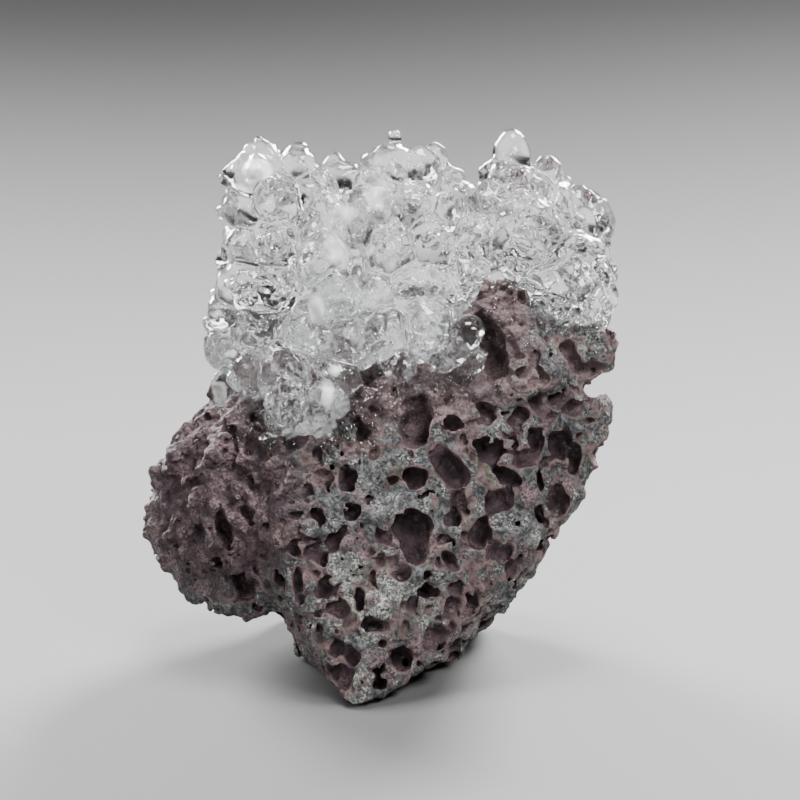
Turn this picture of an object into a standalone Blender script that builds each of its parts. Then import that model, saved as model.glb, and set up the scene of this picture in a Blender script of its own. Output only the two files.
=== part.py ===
"""Hyalite opal: a clear, bubbly crust of opal grown over a broken piece of vesicular lava.

The piece stands on its underside with one corner to the front. Places are given as they are
seen in the front view, which looks down on the piece a little: millimetres to the right of the
front corner's foot, up from it, and back from it along the line of sight. place() turns such a
triple into the part's own frame, in metres, +Z up, with its origin under the middle of the piece.
"""

import math
import random

import bmesh
import bpy
from mathutils import Matrix, Vector, noise
from mathutils.bvhtree import BVHTree

MM = 0.001
SIGHT_TILT = math.radians(16)  # how far the front view looks down
MIDDLE_RIGHT = 0.17  # mm, where the middle of the piece is, to the right of the front foot
MIDDLE_BEHIND = 16.25  # mm, and behind it along the ground

LAVA_VOXEL = 0.9  # mm, the grain at which the lava's chunks are fused
BODY_TRIANGLES = 2400  # of the lava's outer form, before its vesicles are cut
LAVA_TRIANGLES = 4900  # of the lava with its vesicles
LOBES_TRIANGLES = 4400  # of the fused lobes, before their underside is hollowed
LAVA_ROUGH_SCALE = 3.2  # mm, width of the broken surface's unevenness
LAVA_ROUGH_DEPTH = 0.55  # mm
CRUST_GAP = 0.3  # mm, between the crust and the lava it grew on
VESICLE_SINK = 0.35  # share of a vesicle's depth by which its middle lies inside the surface
SIDE_VESICLES = 70  # on the faces that the front view doesn't show
SIDE_VESICLE_SIZES = (0.7, 1.7)  # mm, smallest and largest radius
SEED = 11

# The lava's chunks, each the hull of its corners: right, up, back in mm.
CHUNKS = {
    "prow": [
        (-2.0, 0.0, 0.0), (-3.6, 2.6, 1.2), (0.6, 1.0, 0.8), (5.6, 2.7, 5.0),
        (9.6, 6.3, 9.0), (13.2, 12.6, 7.0), (16.4, 17.5, 6.5), (9.0, 25.5, 2.0),
        (0.0, 27.0, 1.2), (-8.0, 23.0, 1.8), (-8.6, 13.5, 1.2), (-7.4, 6.0, 4.0),
        (2.0, 10.0, -0.4), (-8.7, 6.8, 23.6), (9.8, 6.2, 21.6), (15.0, 17.0, 23.0),
        (4.0, 24.0, 26.5), (-9.5, 20.0, 25.0), (-2.0, 8.0, 27.2), (5.7, 3.0, 10.0),
    ],
    "left_shoulder": [
        (-19.5, 15.9, 12.0), (-19.0, 12.8, 13.0), (-17.0, 10.9, 12.0), (-13.7, 7.9, 10.5),
        (-9.5, 7.5, 7.5), (-8.0, 14.0, 2.0), (-8.0, 22.5, 3.0), (-12.5, 24.5, 6.0),
        (-15.6, 23.6, 9.0), (-18.1, 19.7, 10.0), (-14.0, 15.0, 5.2), (-18.3, 16.0, 19.0),
        (-13.0, 9.5, 20.0), (-9.0, 9.0, 22.0), (-10.0, 22.0, 24.0), (-15.5, 21.0, 21.5),
    ],
    "right_shoulder": [
        (8.0, 26.5, 2.2), (14.0, 26.6, 4.5), (18.6, 25.5, 8.0), (19.0, 23.6, 8.5),
        (17.0, 19.6, 7.0), (16.0, 15.5, 8.0), (18.0, 25.0, 17.0), (16.2, 17.5, 20.5),
        (8.0, 25.0, 23.0),
    ],
    "ledge": [
        (13.6, 32.0, 5.5), (18.8, 31.2, 6.2), (18.9, 27.8, 7.0), (17.2, 27.6, 6.0),
        (12.6, 27.6, 4.2), (18.2, 30.6, 14.0), (17.2, 27.4, 15.0), (12.0, 31.5, 16.0),
        (11.0, 26.0, 17.0),
    ],
    "ridge": [
        (10.5, 36.3, 5.0), (7.5, 34.0, 4.6), (8.4, 29.0, 3.0), (13.4, 30.6, 3.6),
        (12.6, 34.0, 4.6), (12.4, 25.6, 1.8), (15.4, 27.2, 3.4), (10.0, 34.6, 14.0),
        (14.0, 30.0, 15.0), (7.0, 28.0, 15.0), (7.4, 26.0, 3.0),
    ],
    "mound": [
        (-13.4, 25.0, 9.5), (-12.0, 32.5, 12.0), (-4.0, 33.5, 11.0), (4.0, 31.0, 9.0),
        (8.0, 31.0, 9.0), (-8.0, 25.0, 5.4), (7.0, 27.5, 4.2), (-11.6, 30.0, 20.0),
        (-2.0, 33.0, 20.0), (8.0, 31.0, 20.0), (-12.6, 21.0, 22.0), (10.0, 25.0, 22.0),
        (-14.4, 25.2, 10.0),
    ],
}

# Vesicles of the front faces: right, up, half width, half height in mm, lean in degrees.
FRONT_VESICLES = [
    (12.9, 22.2, 0.8, 1.1, -12), (8.9, 21.4, 1.35, 1.15, -20), (14.9, 21.6, 0.95, 1.4, -12),
    (9.5, 17.1, 1.2, 1.3, 0), (10.3, 19.2, 1.35, 0.85, -30), (9.0, 24.3, 0.9, 1.15, 0),
    (14.7, 17.1, 0.95, 1.25, 0), (3.3, 23.4, 1.4, 2.0, 0), (5.6, 19.8, 1.7, 1.15, -48),
    (2.6, 19.2, 1.15, 0.9, 0), (5.7, 15.8, 0.85, 0.85, 0), (2.7, 15.2, 1.6, 1.5, 0),
    (2.8, 13.3, 1.1, 1.3, 0), (16.2, 20.4, 0.65, 1.3, -10), (8.3, 14.6, 0.9, 1.2, 0),
    (10.5, 12.8, 0.85, 0.55, 30), (6.1, 12.4, 0.95, 0.55, -50), (6.1, 10.0, 0.5, 0.85, -28),
    (2.7, 8.8, 0.5, 0.85, 0), (-1.8, 9.2, 0.5, 1.0, 30), (-0.6, 7.4, 1.05, 0.6, 10),
    (4.5, 5.8, 1.1, 0.95, 0), (-3.4, 2.9, 1.1, 1.15, 0), (-2.1, 16.4, 1.0, 0.75, 20),
    (-5.2, 16.2, 0.65, 0.6, 0), (-3.9, 14.1, 0.75, 0.9, -20), (-6.6, 13.3, 0.5, 0.75, 0),
    (-3.6, 8.4, 0.95, 0.6, 0), (-6.7, 10.4, 0.5, 1.0, 0), (-10.8, 10.4, 1.15, 1.55, -10),
    (-13.2, 14.8, 0.65, 1.45, 18), (-10.8, 16.0, 1.15, 0.55, -40), (-13.4, 11.8, 0.9, 0.5, 10),
    (-15.6, 18.4, 1.0, 0.6, 25), (-10.3, 21.4, 0.5, 0.85, 0), (10.1, 28.6, 1.7, 1.35, -15),
    (15.6, 28.6, 1.1, 1.5, 0), (11.8, 24.6, 0.8, 0.65, 0), (-0.1, 21.0, 0.55, 0.55, 0),
]

# The hyalite's lobes: right, up, back, radius in mm, and how tall against their width.
CORES = [
    (-8.6, 35.0, 12.0, 3.6, 2.2), (-3.6, 34.0, 12.0, 4.4, 2.0), (2.6, 35.5, 12.0, 5.4, 1.45),
    (8.0, 36.4, 12.5, 4.4, 1.2), (13.4, 37.0, 12.0, 4.9, 1.3),
]
LEFT_LOBES = [
    (-10.3, 44.2, 9.8, 2.35, 1.0), (-9.6, 45.6, 10.6, 1.5, 1.0), (-6.8, 44.6, 10.2, 1.9, 1.15),
    (-6.8, 46.3, 10.4, 0.85, 1.3), (-11.7, 41.3, 10.4, 1.85, 1.1), (-8.6, 42.0, 8.2, 2.1, 1.0),
    (-11.1, 38.0, 9.4, 1.75, 1.1), (-8.2, 38.4, 7.2, 2.2, 1.0), (-11.4, 34.9, 9.2, 1.7, 1.1),
    (-12.6, 32.4, 9.6, 1.6, 1.0), (-13.9, 31.5, 10.4, 0.9, 1.0), (-12.9, 29.6, 9.4, 1.6, 1.0),
    (-14.1, 27.2, 10.4, 1.2, 1.3), (-9.0, 34.6, 6.6, 2.2, 1.0), (-9.4, 31.0, 6.4, 2.3, 1.0),
    (-10.6, 27.6, 6.2, 1.8, 1.0), (-8.0, 27.8, 4.4, 2.0, 1.0), (-7.4, 25.0, 3.0, 1.9, 1.0),
    (-4.9, 24.6, 2.2, 2.0, 1.0), (-4.4, 23.0, 1.6, 1.15, 1.0), (-5.2, 42.6, 9.0, 1.9, 1.0),
    (-3.2, 43.8, 9.6, 1.45, 1.1), (-4.2, 40.4, 6.8, 2.2, 1.0), (-4.6, 37.0, 5.4, 2.3, 1.1),
    (-3.6, 33.4, 4.4, 2.4, 1.0), (-6.0, 30.6, 4.4, 2.2, 1.0), (-2.6, 30.0, 3.6, 2.2, 1.0),
    (-3.4, 27.2, 2.6, 2.0, 1.0),
]
CENTRE_LOBES = [
    (1.1, 45.0, 10.4, 1.9, 1.1), (1.25, 46.7, 10.4, 0.42, 1.6), (1.3, 47.5, 10.4, 0.5, 1.0),
    (-0.5, 43.4, 9.4, 1.7, 1.0), (3.4, 44.8, 10.4, 1.5, 1.1), (4.7, 45.8, 10.6, 0.85, 1.4),
    (5.8, 44.0, 10.6, 1.15, 1.0), (6.9, 42.4, 10.6, 1.25, 1.0), (-0.8, 40.6, 7.4, 2.3, 1.0),
    (2.6, 41.8, 8.0, 2.1, 1.0), (5.2, 41.2, 8.8, 1.9, 1.0), (0.9, 37.6, 5.6, 2.4, 1.0),
    (4.3, 38.0, 6.6, 2.2, 1.0), (-0.7, 34.2, 4.6, 2.3, 1.0), (2.7, 34.4, 4.8, 2.3, 1.0),
    (5.4, 34.8, 5.6, 1.9, 1.0), (0.6, 30.8, 3.8, 2.2, 1.0), (3.9, 31.2, 3.6, 2.2, 1.0),
    (6.9, 31.3, 2.4, 1.6, 1.0), (5.8, 29.6, 2.6, 1.5, 1.0), (1.8, 28.6, 3.2, 1.4, 1.0),
    (8.0, 28.8, 2.6, 0.9, 1.0),
]
RIGHT_LOBES = [
    (10.9, 46.2, 10.8, 1.6, 1.1), (9.8, 44.2, 10.4, 1.5, 1.1), (13.8, 44.2, 10.8, 1.35, 1.0),
    (12.4, 43.2, 9.6, 1.9, 1.0), (14.8, 42.2, 10.0, 1.6, 1.0), (16.4, 40.8, 10.2, 1.5, 1.0),
    (10.1, 41.2, 8.4, 2.1, 1.0), (13.4, 40.2, 7.4, 2.3, 1.0), (8.4, 38.6, 7.6, 2.1, 1.0),
    (11.6, 38.0, 6.4, 2.3, 1.0), (16.3, 38.0, 8.4, 2.0, 1.0), (18.6, 41.0, 11.2, 0.95, 1.7),
    (18.5, 38.4, 11.0, 1.15, 1.2), (18.3, 36.2, 10.2, 1.35, 1.1), (15.9, 35.0, 6.8, 2.1, 1.0),
    (13.8, 34.4, 6.4, 1.9, 1.0), (18.1, 33.6, 9.2, 1.45, 1.1), (16.6, 32.6, 7.2, 1.6, 1.0),
    (7.6, 36.0, 6.2, 1.7, 1.0),
]
BACK_LOBE_TRIES = 2500  # places tried over the back of the cores
BACK_LOBE_SIZES = (1.5, 2.4)  # mm, smallest and largest radius
BACK_LOBE_SPACING = 0.8  # of two neighbours' radii added up


def place(right, up, back):
    """A point of the part's frame, in metres, from its place in the front view."""
    behind = up * math.sin(SIGHT_TILT) + back * math.cos(SIGHT_TILT)
    height = up * math.cos(SIGHT_TILT) - back * math.sin(SIGHT_TILT)
    return Vector((right - MIDDLE_RIGHT, behind - MIDDLE_BEHIND, height)) * MM


def clear_scene():
    for found in list(bpy.data.objects):
        bpy.data.objects.remove(found)


def new_collection(name, shown=True):
    made = bpy.data.collections.new(name)
    bpy.context.scene.collection.children.link(made)
    made.hide_render = not shown
    return made


def new_object(name, mesh, collection):
    made = bpy.data.objects.new(name, mesh)
    collection.objects.link(made)
    return made


def as_helper(found):
    """A cutter or a guide: there to shape the parts, and no part itself."""
    found.hide_render = True
    found.display_type = "WIRE"
    return found


def settle(found):
    """Turns the object's modifiers into plain mesh."""
    graph = bpy.context.evaluated_depsgraph_get()
    mesh = bpy.data.meshes.new_from_object(found.evaluated_get(graph))
    found.modifiers.clear()
    found.data = mesh
    return found


def keep_largest(found):
    """Drops the crumbs that a cut leaves loose, or joined to the main body by an edge alone."""
    bm = bmesh.new()
    bm.from_mesh(found.data)
    left = set(bm.faces)
    bodies = []
    while left:
        body = [left.pop()]
        for face in body:
            edges = [edge for edge in face.edges if len(edge.link_faces) == 2]
            near = {other for edge in edges for other in edge.link_faces} & left
            left -= near
            body.extend(near)
        bodies.append(body)
    bodies.sort(key=len)
    for body in bodies[:-1]:
        bmesh.ops.delete(bm, geom=body, context="FACES")
    bm.to_mesh(found.data)
    bm.free()
    return found


def boolean(found, operation, cutter):
    cut = found.modifiers.new(operation.lower(), "BOOLEAN")
    cut.operation = operation
    cut.solver = "EXACT"
    cut.use_self = True  # cutters and lobes overlap each other
    if isinstance(cutter, bpy.types.Collection):
        cut.operand_type = "COLLECTION"
        cut.collection = cutter
    else:
        cut.object = cutter
    return settle(found)


def material(name, colour, roughness, transmission=0.0):
    made = bpy.data.materials.new(name)
    made.use_nodes = True
    surface = made.node_tree.nodes["Principled BSDF"]
    surface.inputs["Base Color"].default_value = (*colour, 1.0)
    surface.inputs["Roughness"].default_value = roughness
    surface.inputs["Metallic"].default_value = 0.0
    surface.inputs["Transmission Weight"].default_value = transmission
    surface.inputs["IOR"].default_value = 1.45
    return made


def lava_body(collection):
    """The lava's outer form before its vesicles: fused chunks with an uneven broken surface."""
    bm = bmesh.new()
    for corners in CHUNKS.values():
        points = [bm.verts.new(place(*corner)) for corner in corners]
        hull = bmesh.ops.convex_hull(bm, input=points)
        inside = [v for v in hull["geom_interior"] if isinstance(v, bmesh.types.BMVert)]
        bmesh.ops.delete(bm, geom=inside, context="VERTS")
    mesh = bpy.data.meshes.new("lava_body")
    bm.to_mesh(mesh)
    bm.free()
    body = new_object("lava_body", mesh, collection)
    fuse = body.modifiers.new("fuse", "REMESH")
    fuse.mode = "VOXEL"
    fuse.voxel_size = LAVA_VOXEL * MM
    settle(body)
    roughen(body)
    thin_out(body, BODY_TRIANGLES)
    return keep_largest(body)


def thin_out(found, triangles):
    """Lowers the object's mesh to about this many triangles."""
    bm = bmesh.new()
    bm.from_mesh(found.data)
    bmesh.ops.triangulate(bm, faces=bm.faces)
    bm.to_mesh(found.data)
    bm.free()
    thin = found.modifiers.new("thin", "DECIMATE")
    thin.ratio = min(1.0, triangles / len(found.data.polygons))
    return settle(found)


def roughen(body):
    """Moves each point along its normal by a fractal unevenness, counted from the front foot."""
    front_foot = Vector((-MIDDLE_RIGHT, -MIDDLE_BEHIND, 0.0)) * MM
    normals = [vertex.normal.copy() for vertex in body.data.vertices]
    for vertex, normal in zip(body.data.vertices, normals):
        rough = noise.fractal((vertex.co - front_foot) / (LAVA_ROUGH_SCALE * MM), 0.8, 2.0, 3)
        vertex.co += normal * rough * LAVA_ROUGH_DEPTH * MM


def front_surface(tree, right, up):
    """Where the line of sight through this place of the front view meets the surface."""
    start = place(right, up, -20.0)
    sight = (place(right, up, 40.0) - start).normalized()
    hit, _, _, _ = tree.ray_cast(start, sight)
    return hit, sight


def add_ellipsoid(bm, middle, sizes, turn, subdivisions):
    """An icosphere of these half widths, in metres, turned and moved to its place."""
    scale = Matrix.Diagonal((*sizes, 1.0))
    where = Matrix.Translation(middle) @ turn.to_4x4() @ scale
    bmesh.ops.create_icosphere(bm, subdivisions=subdivisions, radius=1.0, matrix=where)


def vesicle_cutter(body, collection):
    """Every vesicle that opens on the surface, as ellipsoids to be cut away."""
    tree = BVHTree.FromObject(body, bpy.context.evaluated_depsgraph_get())
    look = Matrix.Rotation(-SIGHT_TILT, 3, "X")
    bm = bmesh.new()
    for right, up, wide, tall, lean in FRONT_VESICLES:
        hit, sight = front_surface(tree, right, up)
        if hit is None:
            continue
        deep = (wide + tall) / 2
        turn = look @ Matrix.Rotation(math.radians(-lean), 3, "Y")
        middle = hit + sight * deep * VESICLE_SINK * MM
        add_ellipsoid(bm, middle, (wide * MM, deep * MM, tall * MM), turn, 2)
    side_vesicles(bm, body)
    mesh = bpy.data.meshes.new("vesicles")
    bm.to_mesh(mesh)
    bm.free()
    return as_helper(new_object("vesicles", mesh, collection))


def side_vesicles(bm, body):
    """Scattered vesicles on the faces that look away from the front view, clear of each other."""
    draw = random.Random(SEED)
    sight = Vector((0.0, math.cos(SIGHT_TILT), -math.sin(SIGHT_TILT)))
    faces = [f for f in body.data.polygons if f.normal.dot(sight) > -0.25]
    weights = [face.area for face in faces]
    made = []
    while len(made) < SIDE_VESICLES:
        face = draw.choices(faces, weights)[0]
        radius = draw.uniform(*SIDE_VESICLE_SIZES) * MM
        middle = face.center - face.normal * radius * VESICLE_SINK
        if middle.z < 1.5 * MM:
            continue
        if any((middle - other).length < 0.95 * (radius + size) for other, size in made):
            continue
        made.append((middle, radius))
        turn = Matrix.Rotation(draw.uniform(0, math.pi), 3, face.normal)
        add_ellipsoid(bm, middle, (radius, radius * 0.8, radius * draw.uniform(0.7, 1.2)), turn, 2)


def build_lava(collection, helpers):
    body = as_helper(lava_body(helpers))
    lava = new_object("matrix", body.data.copy(), collection)
    boolean(lava, "DIFFERENCE", vesicle_cutter(body, helpers))
    keep_largest(lava)
    thin_out(lava, LAVA_TRIANGLES)
    boolean(lava, "DIFFERENCE", ground_cutter(helpers))
    keep_largest(lava)
    lava.data.materials.clear()
    lava.data.materials.append(material("lava", (0.16, 0.12, 0.125), 0.85))
    return lava, body


def ground_cutter(collection):
    """A block under the ground, which leaves the underside its flat feet."""
    bm = bmesh.new()
    bmesh.ops.create_cube(bm, size=1.0, matrix=Matrix.Translation((0, 0, -0.05)) @ Matrix.Scale(0.1, 4))
    mesh = bpy.data.meshes.new("ground")
    bm.to_mesh(mesh)
    bm.free()
    return as_helper(new_object("ground", mesh, collection))


def inside_core(point, core):
    right, up, back, radius, tall = core
    away = point - Vector((right, up, back))
    return Vector((away.x, away.y / tall, away.z)).length < 0.9 * radius


def back_lobes():
    """Lobes over the back of the cores, side by side as those of the front are."""
    draw = random.Random(SEED)
    found = []
    for _ in range(BACK_LOBE_TRIES):
        right, up, back, radius, tall = draw.choice(CORES)
        around = draw.uniform(-0.5 * math.pi, 0.5 * math.pi)
        rise = draw.uniform(-0.95, 0.95)
        out = math.sqrt(1 - rise * rise) * radius
        size = draw.uniform(*BACK_LOBE_SIZES)
        middle = Vector((
            right + math.sin(around) * out,
            up + rise * radius * tall,
            back + math.cos(around) * out,
        ))
        if any(inside_core(middle, core) for core in CORES):
            continue
        if any((middle - Vector(other[:3])).length < BACK_LOBE_SPACING * (size + other[3]) for other in found):
            continue
        found.append((*middle, size, 1.0))
    return found


def lobe_object(index, lobe, collection):
    right, up, back, radius, tall = lobe
    bm = bmesh.new()
    turn = Matrix.Rotation(-SIGHT_TILT, 3, "X") @ Matrix.Rotation(index * 2.4, 3, "Z")
    sizes = (radius * MM, radius * MM, radius * tall * MM)
    add_ellipsoid(bm, place(right, up, back), sizes, turn, 3 if radius > 3.0 else 2)
    mesh = bpy.data.meshes.new(f"lobe_{index:03d}")
    bm.to_mesh(mesh)
    bm.free()
    return as_helper(new_object(f"lobe_{index:03d}", mesh, collection))


def build_hyalite(collection, helpers, body):
    """The crust: lobes joined into one solid, hollowed underneath to fit over the lava."""
    joined = new_collection("lobes", shown=False)
    found = CORES + LEFT_LOBES + CENTRE_LOBES + RIGHT_LOBES + back_lobes()
    for index, lobe in enumerate(found[1:], 1):
        lobe_object(index, lobe, joined)
    first = lobe_object(0, found[0], helpers)
    hyalite = new_object("hyalite", first.data.copy(), collection)
    boolean(hyalite, "UNION", joined)
    thin_out(hyalite, LOBES_TRIANGLES)
    boolean(hyalite, "DIFFERENCE", grown_body(body, helpers))
    keep_largest(hyalite)
    hyalite.data.materials.clear()
    hyalite.data.materials.append(material("hyalite", (0.97, 0.98, 0.98), 0.03, 1.0))
    return hyalite


def grown_body(body, collection):
    """The lava's outer form made larger all round by the gap between crust and lava."""
    grown = as_helper(new_object("grown_body", body.data.copy(), collection))
    normals = [vertex.normal.copy() for vertex in grown.data.vertices]
    for vertex, normal in zip(grown.data.vertices, normals):
        vertex.co += normal * CRUST_GAP * MM
    return grown


def main():
    clear_scene()
    parts = new_collection("hyalite_opal")
    helpers = new_collection("cutters", shown=False)
    lava, body = build_lava(parts, helpers)
    hyalite = build_hyalite(parts, helpers, body)
    for part in (lava, hyalite):
        print(part.name, len(part.data.polygons), "faces")


main()
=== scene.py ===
import math
import random

import bmesh
import bpy
import numpy as np
import openvdb
from mathutils import Matrix, Vector, noise
from mathutils.bvhtree import BVHTree


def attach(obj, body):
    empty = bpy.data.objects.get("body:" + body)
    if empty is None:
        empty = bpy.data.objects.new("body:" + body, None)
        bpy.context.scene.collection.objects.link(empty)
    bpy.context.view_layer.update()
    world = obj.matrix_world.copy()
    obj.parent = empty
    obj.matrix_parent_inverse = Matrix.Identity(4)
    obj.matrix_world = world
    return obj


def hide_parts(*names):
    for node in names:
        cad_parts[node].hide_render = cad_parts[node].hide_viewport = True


# Hyalite opal: a clear, bubbly crust grown over a broken piece of vesicular lava.
# Places are given as the front view shows them: right, up and back in mm from the front foot.

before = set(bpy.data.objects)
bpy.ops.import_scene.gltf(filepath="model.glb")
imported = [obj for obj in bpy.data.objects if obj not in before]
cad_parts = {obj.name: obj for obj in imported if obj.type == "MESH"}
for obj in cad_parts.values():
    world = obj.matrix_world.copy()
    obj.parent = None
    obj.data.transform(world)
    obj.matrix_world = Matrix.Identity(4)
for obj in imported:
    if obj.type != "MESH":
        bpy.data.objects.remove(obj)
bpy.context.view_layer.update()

mm = 0.001
sightTilt = math.radians(16)  # how far the front view looks down
middleRight, middleBehind = 0.17, 16.25  # mm, the front foot's distance from the frame's origin


def place(right, up, back):
    behind = up * math.sin(sightTilt) + back * math.cos(sightTilt)
    height = up * math.cos(sightTilt) - back * math.sin(sightTilt)
    return Vector((right - middleRight, behind - middleBehind, height)) * mm


sight = (place(0, 0, 1) - place(0, 0, 0)).normalized()
sightTurn = Matrix.Rotation(-sightTilt, 3, "X")


def smoothStep(value, low, high):
    t = np.clip((value - low) / (high - low), 0, 1)
    return t * t * (3 - 2 * t)


def meshObject(name, mesh):
    made = bpy.data.objects.new(name, mesh)
    bpy.context.scene.collection.objects.link(made)
    return made


def settled(obj):  # the evaluated mesh takes the place of the modifiers
    graph = bpy.context.evaluated_depsgraph_get()
    mesh = bpy.data.meshes.new_from_object(obj.evaluated_get(graph))
    obj.modifiers.clear()
    obj.data = mesh
    return obj


def modified(obj, kind, **settings):
    made = obj.modifiers.new(kind.lower(), kind)
    for name, value in settings.items():
        setattr(made, name, value)
    return settled(obj)


def thinned(obj, most):
    obj.data.calc_loop_triangles()
    share = most / len(obj.data.loop_triangles)
    if share < 1:
        modified(obj, "DECIMATE", ratio=share)
    return obj


def coordinates(mesh):
    flat = np.empty(len(mesh.vertices) * 3, np.float32)
    mesh.vertices.foreach_get("co", flat)
    return flat.reshape(-1, 3)


def normalsOf(mesh):
    flat = np.empty(len(mesh.vertices) * 3, np.float32)
    mesh.vertices.foreach_get("normal", flat)
    return flat.reshape(-1, 3)


def setCoordinates(mesh, points):
    mesh.vertices.foreach_set("co", points.astype(np.float32).ravel())
    mesh.update()


def setAttribute(mesh, name, values):
    made = mesh.attributes.new(name, "FLOAT", "POINT")
    made.data.foreach_set("value", np.asarray(values, np.float32))


# A block of space cut into small cells, each holding its distance to a surface, less than 0 inside it.
class Field:
    def __init__(self, low, high, step, far):
        self.low, self.step, self.far = np.array(low, np.float64), step, far
        self.shape = tuple(int((h - l) / step) + 2 for l, h in zip(low, high))
        self.axes = [self.low[i] + step * np.arange(n) for i, n in enumerate(self.shape)]
        self.values = np.full(self.shape, far, np.float32)

    def like(self):
        made = Field.__new__(Field)
        made.__dict__.update(self.__dict__)
        made.values = np.full(self.shape, self.far, np.float32)
        return made

    def transform(self):
        made = openvdb.createLinearTransform(voxelSize=self.step)
        made.postTranslate(tuple(self.low))
        return made

    def fromMesh(self, mesh):
        mesh.calc_loop_triangles()
        corners = np.empty(len(mesh.loop_triangles) * 3, np.int32)
        mesh.loop_triangles.foreach_get("vertices", corners)
        grid = openvdb.FloatGrid.createLevelSetFromPolygons(
            points=coordinates(mesh), triangles=corners.reshape(-1, 3).astype(np.uint32),
            transform=self.transform(), halfWidth=self.far / self.step)
        grid.copyToArray(self.values, ijk=(0, 0, 0))
        return self

    # joins a turned ellipsoid to what the field holds, with a fillet of the given width
    def addEllipsoid(self, middle, sizes, turn, fillet):
        sizes = np.array(sizes)
        reach = sizes.max() + self.far
        part = []
        for axis in range(3):
            low = int((middle[axis] - reach - self.low[axis]) / self.step)
            high = int((middle[axis] + reach - self.low[axis]) / self.step) + 2
            part.append(slice(max(0, low), max(0, min(self.shape[axis], high))))
        part = tuple(part)
        if any(span.start >= span.stop for span in part):
            return
        steps = [self.axes[axis][part[axis]] - middle[axis] for axis in range(3)]
        spot = np.stack(np.meshgrid(*steps, indexing="ij"), -1) @ np.array(turn)
        far = np.linalg.norm(spot / sizes, axis=-1)
        steep = np.linalg.norm(spot / sizes ** 2, axis=-1) + 1e-9
        away = far * (far - 1) / steep
        self.values[part] = smoothLeast(self.values[part], away, fillet)

    # smooth random waves: a lattice of random numbers drawn through with cubic splines
    def waves(self, size, seed):
        draw = np.random.default_rng(seed)
        weights = []
        for axis in self.axes:
            t = (axis - axis[0]) / size
            cell = t.astype(int)
            f = t - cell
            table = np.zeros((len(axis), cell.max() + 4), np.float32)
            rows = np.arange(len(axis))
            table[rows, cell] = (1 - f) ** 3 / 6
            table[rows, cell + 1] = (3 * f ** 3 - 6 * f ** 2 + 4) / 6
            table[rows, cell + 2] = (-3 * f ** 3 + 3 * f ** 2 + 3 * f + 1) / 6
            table[rows, cell + 3] = f ** 3 / 6
            weights.append(table)
        lattice = draw.uniform(-1, 1, [w.shape[1] for w in weights]).astype(np.float32)
        made = np.tensordot(weights[0], lattice, (1, 0))
        made = np.tensordot(made, weights[1], (1, 1)).transpose(0, 2, 1)
        made = np.tensordot(made, weights[2], (2, 1))
        return made / made.std()

    # lumps with sharp creases between them, as broken, granular rock has
    def lumps(self, size, seed):
        return 0.8 - np.abs(self.waves(size, seed))

    # draws the field askew, by waves of the given width and reach, so that round things come out uneven
    def warp(self, layers, seed):
        spots = [np.broadcast_to(shape, self.shape).astype(np.float32) for shape in np.ix_(*self.axes)]
        for index, (size, reach) in enumerate(layers):
            for axis in range(3):
                spots[axis] = spots[axis] + self.waves(size, seed + 3 * index + axis) * reach
        points = np.stack(spots, -1).reshape(-1, 3)
        self.values = self.sample(points).reshape(self.shape).astype(np.float32)

    def soften(self, times):
        for _ in range(times):
            for axis in range(3):
                before, after = np.roll(self.values, 1, axis), np.roll(self.values, -1, axis)
                self.values = (before + 2 * self.values + after) / 4

    def sample(self, points):
        spot = (points - self.low) / self.step
        spot = np.clip(spot, 0, np.array(self.shape) - 1.001)
        cell = spot.astype(int)
        f = spot - cell
        total = 0
        for corner in np.ndindex(2, 2, 2):
            share = 1
            for axis, on in enumerate(corner):
                share = share * (f[:, axis] if on else 1 - f[:, axis])
            total = total + share * self.values[tuple((cell + corner).T)]
        return total

    def toObject(self, name):
        grid = openvdb.FloatGrid(self.far)
        grid.copyFromArray(np.clip(self.values, -self.far, self.far))
        grid.transform = self.transform()
        points, triangles, quads = grid.convertToPolygons(isovalue=0.0, adaptivity=0.0)
        halves = [quads[:, [0, 1, 2]], quads[:, [0, 2, 3]]]
        triangles = np.concatenate([triangles.reshape(-1, 3), *halves]).astype(np.int64)
        points, triangles = largestBody(points, triangles)
        mesh = bpy.data.meshes.new(name)
        mesh.from_pydata(points, [], triangles)
        mesh.update()
        return meshObject(name, mesh)


def smoothLeast(a, b, fillet):
    share = np.clip(0.5 + 0.5 * (b - a) / fillet, 0, 1)
    return b + (a - b) * share - fillet * share * (1 - share)


def smoothMost(a, b, fillet):
    return -smoothLeast(-a, -b, fillet)


# drops sealed pores and loose crumbs: only the body with the most points stays
def largestBody(points, triangles):
    label = np.arange(len(points))
    ends = np.concatenate([triangles[:, [0, 1]], triangles[:, [1, 2]]])
    while True:
        least = np.minimum(label[ends[:, 0]], label[ends[:, 1]])
        before = label.copy()
        np.minimum.at(label, ends[:, 0], least)
        np.minimum.at(label, ends[:, 1], least)
        label = label[label]
        if (label == before).all():
            break
    kept = label == np.bincount(label).argmax()
    number = np.cumsum(kept) - 1
    return points[kept], number[triangles[kept[triangles[:, 0]]]]


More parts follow.
